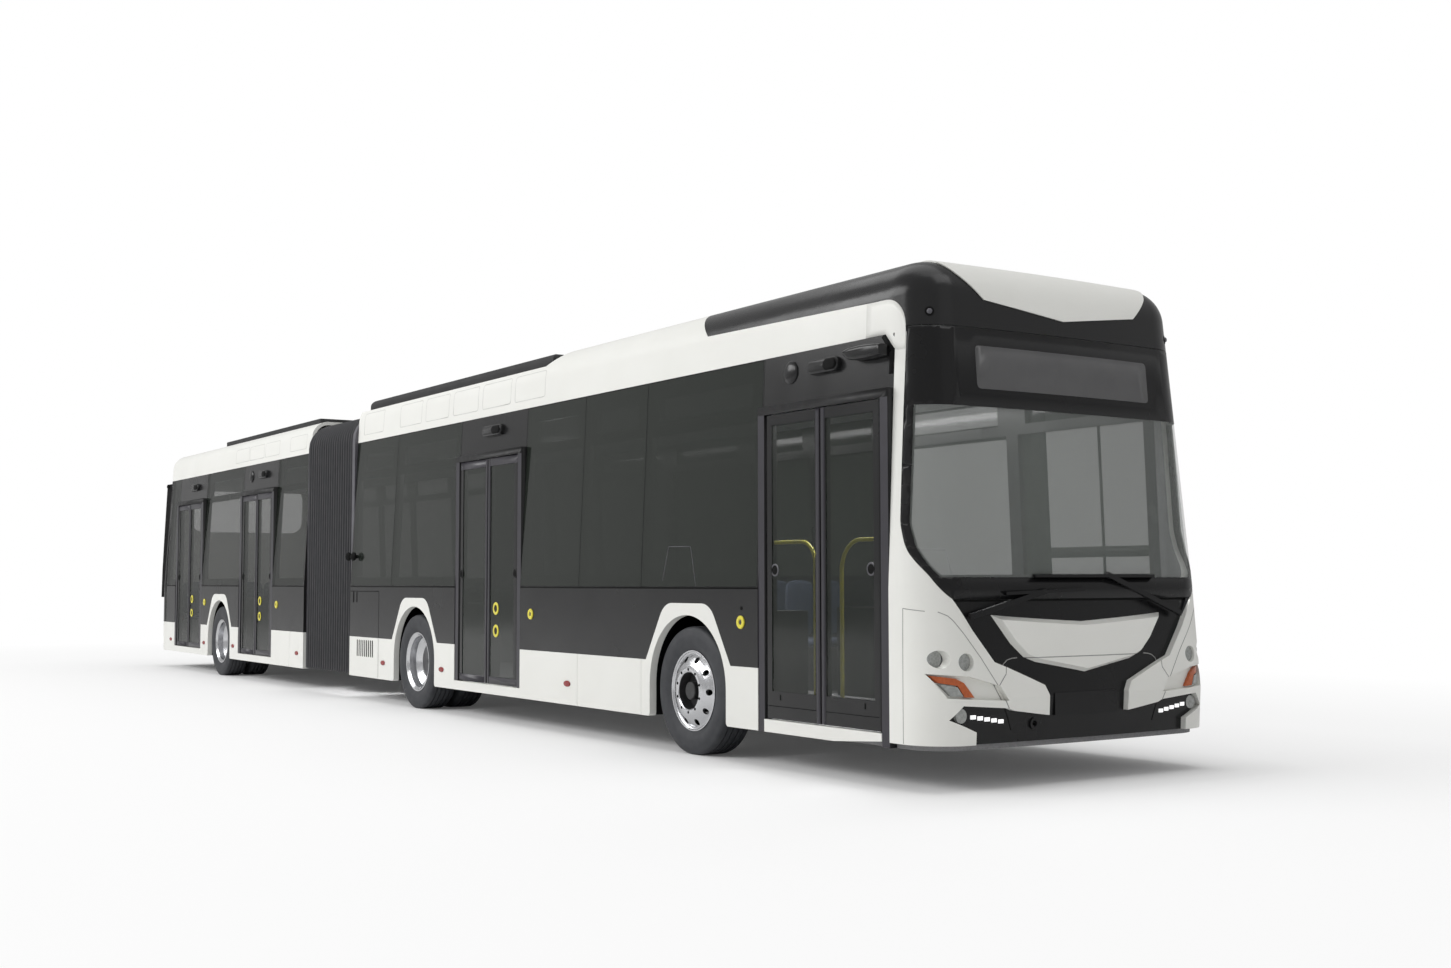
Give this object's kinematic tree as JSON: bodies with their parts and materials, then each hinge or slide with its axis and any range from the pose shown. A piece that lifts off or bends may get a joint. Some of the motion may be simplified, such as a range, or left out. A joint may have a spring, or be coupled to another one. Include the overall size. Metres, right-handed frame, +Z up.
{
  "type": "articulated city bus",
  "caption": "Low-floor articulated battery-electric city bus: two cars joined by a pleated bellows, with twin-leaf doors along the kerb side and smooth roof fairings.",
  "frame": {"origin": "on the road under the middle of the bus", "axes": "+X along the bus to the nose, +Y to the left side, +Z up"},
  "size_m": [18.0965, 2.66, 3.3379],
  "materials": {
    "white_paint": "gloss",
    "black_panel": "gloss",
    "side_glass": "tinted",
    "screen_glass": "tinted",
    "door_rubber": "matt",
    "floor_grey": "matt",
    "lining_grey": "matt",
    "tyre": "matt",
    "rim_alloy": "polished",
    "axle_iron": "matt",
    "bellows_rubber": "matt",
    "lamp_clear": "clear",
    "lamp_red": "gloss",
    "seat_fabric": "woven",
    "rail_yellow": "satin",
    "cab_plastic": "matt"
  },
  "bodies": {
    "front_car": {"cab": "cab_plastic", "front_axle": "axle_iron", "front_band": "black_panel", "front_cameras": "black_panel", "front_ceiling": "lining_grey", "front_cover": "black_panel", "front_dome": "black_panel", "front_door_frames": "door_rubber", "front_fairings": "white_paint", "front_floor": "floor_grey", "front_glass": "side_glass", "front_lamps": "lamp_clear", "front_mask": "white_paint", "front_seats": "seat_fabric", "front_skirts": "white_paint", "front_walls": "black_panel", "joint_plate": "axle_iron", "mid_axle": "axle_iron", "windscreen": "screen_glass", "wipers": "black_panel"},
    "rear_car": {"bellows": "bellows_rubber", "rear_axle": "axle_iron", "rear_ceiling": "lining_grey", "rear_cover": "black_panel", "rear_door_frames": "door_rubber", "rear_fairings": "white_paint", "rear_floor": "floor_grey", "rear_glass": "side_glass", "rear_lamps": "lamp_red", "rear_panel": "white_paint", "rear_seats": "seat_fabric", "rear_skirts": "white_paint", "rear_walls": "black_panel", "turntable": "floor_grey"},
    "door_1_front_leaf": {"door_1_front_handrail": "rail_yellow", "door_1_front_leaf": "door_rubber"},
    "door_1_rear_leaf": {"door_1_rear_handrail": "rail_yellow", "door_1_rear_leaf": "door_rubber"},
    "door_2_front_leaf": {"door_2_front_leaf": "door_rubber"},
    "door_2_rear_leaf": {"door_2_rear_leaf": "door_rubber"},
    "door_3_front_leaf": {"door_3_front_leaf": "door_rubber"},
    "door_3_rear_leaf": {"door_3_rear_leaf": "door_rubber"},
    "door_4_front_leaf": {"door_4_front_leaf": "door_rubber"},
    "door_4_rear_leaf": {"door_4_rear_leaf": "door_rubber"},
    "front_wheel_left": {"front_rim_left": "rim_alloy", "front_tyre_left": "tyre"},
    "front_wheel_right": {"front_rim_right": "rim_alloy", "front_tyre_right": "tyre"},
    "knuckle_left": {"knuckle_left": "axle_iron"},
    "knuckle_right": {"knuckle_right": "axle_iron"},
    "mid_wheel_left": {"mid_rims_left": "rim_alloy", "mid_tyres_left": "tyre"},
    "mid_wheel_right": {"mid_rims_right": "rim_alloy", "mid_tyres_right": "tyre"},
    "rear_wheel_left": {"rear_rims_left": "rim_alloy", "rear_tyres_left": "tyre"},
    "rear_wheel_right": {"rear_rims_right": "rim_alloy", "rear_tyres_right": "tyre"}
  },
  "joints": [
    {"name": "joint_yaw", "type": "hinge", "parent": "front_car", "child": "rear_car", "pos_m": [-1.6, 0, 0.285], "axis": [0, 0, 1], "range_deg": [-48, 48], "deforming": ["bellows"]},
    {"name": "steer_right", "type": "hinge", "parent": "front_car", "child": "knuckle_right", "pos_m": [6.235, -1.02, 0.47], "axis": [0, 0, 1], "range_deg": [-40, 40]},
    {"name": "front_wheel_right_spin", "type": "hinge", "parent": "knuckle_right", "child": "front_wheel_right", "pos_m": [6.235, -1.1, 0.47], "axis": [0, 1, 0], "continuous": true},
    {"name": "mid_wheel_right_spin", "type": "hinge", "parent": "front_car", "child": "mid_wheel_right", "pos_m": [1.02, -0.95, 0.47], "axis": [0, 1, 0], "continuous": true},
    {"name": "rear_wheel_right_spin", "type": "hinge", "parent": "rear_car", "child": "rear_wheel_right", "pos_m": [-5.93, -0.95, 0.47], "axis": [0, 1, 0], "continuous": true},
    {"name": "steer_left", "type": "hinge", "parent": "front_car", "child": "knuckle_left", "pos_m": [6.235, 1.02, 0.47], "axis": [0, 0, 1], "range_deg": [-40, 40]},
    {"name": "front_wheel_left_spin", "type": "hinge", "parent": "knuckle_left", "child": "front_wheel_left", "pos_m": [6.235, 1.1, 0.47], "axis": [0, 1, 0], "continuous": true},
    {"name": "mid_wheel_left_spin", "type": "hinge", "parent": "front_car", "child": "mid_wheel_left", "pos_m": [1.02, 0.95, 0.47], "axis": [0, 1, 0], "continuous": true},
    {"name": "rear_wheel_left_spin", "type": "hinge", "parent": "rear_car", "child": "rear_wheel_left", "pos_m": [-5.93, 0.95, 0.47], "axis": [0, 1, 0], "continuous": true},
    {"name": "door_1_front_swing", "type": "hinge", "parent": "front_car", "child": "door_1_front_leaf", "pos_m": [8.484, -1.24, 1.384], "axis": [0, 0, -1], "range_deg": [0, 88]},
    {"name": "door_1_rear_swing", "type": "hinge", "parent": "front_car", "child": "door_1_rear_leaf", "pos_m": [7.27, -1.24, 1.384], "axis": [0, 0, 1], "range_deg": [0, 88]},
    {"name": "door_2_front_swing", "type": "hinge", "parent": "front_car", "child": "door_2_front_leaf", "pos_m": [3.347, -1.24, 1.384], "axis": [0, 0, -1], "range_deg": [0, 88]},
    {"name": "door_2_rear_swing", "type": "hinge", "parent": "front_car", "child": "door_2_rear_leaf", "pos_m": [2.133, -1.24, 1.384], "axis": [0, 0, 1], "range_deg": [0, 88]},
    {"name": "door_3_front_swing", "type": "hinge", "parent": "rear_car", "child": "door_3_front_leaf", "pos_m": [-3.713, -1.24, 1.384], "axis": [0, 0, -1], "range_deg": [0, 88]},
    {"name": "door_3_rear_swing", "type": "hinge", "parent": "rear_car", "child": "door_3_rear_leaf", "pos_m": [-4.927, -1.24, 1.384], "axis": [0, 0, 1], "range_deg": [0, 88]},
    {"name": "door_4_front_swing", "type": "hinge", "parent": "rear_car", "child": "door_4_front_leaf", "pos_m": [-6.943, -1.24, 1.384], "axis": [0, 0, -1], "range_deg": [0, 88]},
    {"name": "door_4_rear_swing", "type": "hinge", "parent": "rear_car", "child": "door_4_rear_leaf", "pos_m": [-8.157, -1.24, 1.384], "axis": [0, 0, 1], "range_deg": [0, 88]}
  ],
  "couplings": [
    {"joint": "steer_left", "follows": "steer_right", "ratio": 1},
    {"joint": "door_1_rear_swing", "follows": "door_1_front_swing", "ratio": 1},
    {"joint": "door_2_rear_swing", "follows": "door_2_front_swing", "ratio": 1},
    {"joint": "door_3_rear_swing", "follows": "door_3_front_swing", "ratio": 1},
    {"joint": "door_4_rear_swing", "follows": "door_4_front_swing", "ratio": 1}
  ]
}
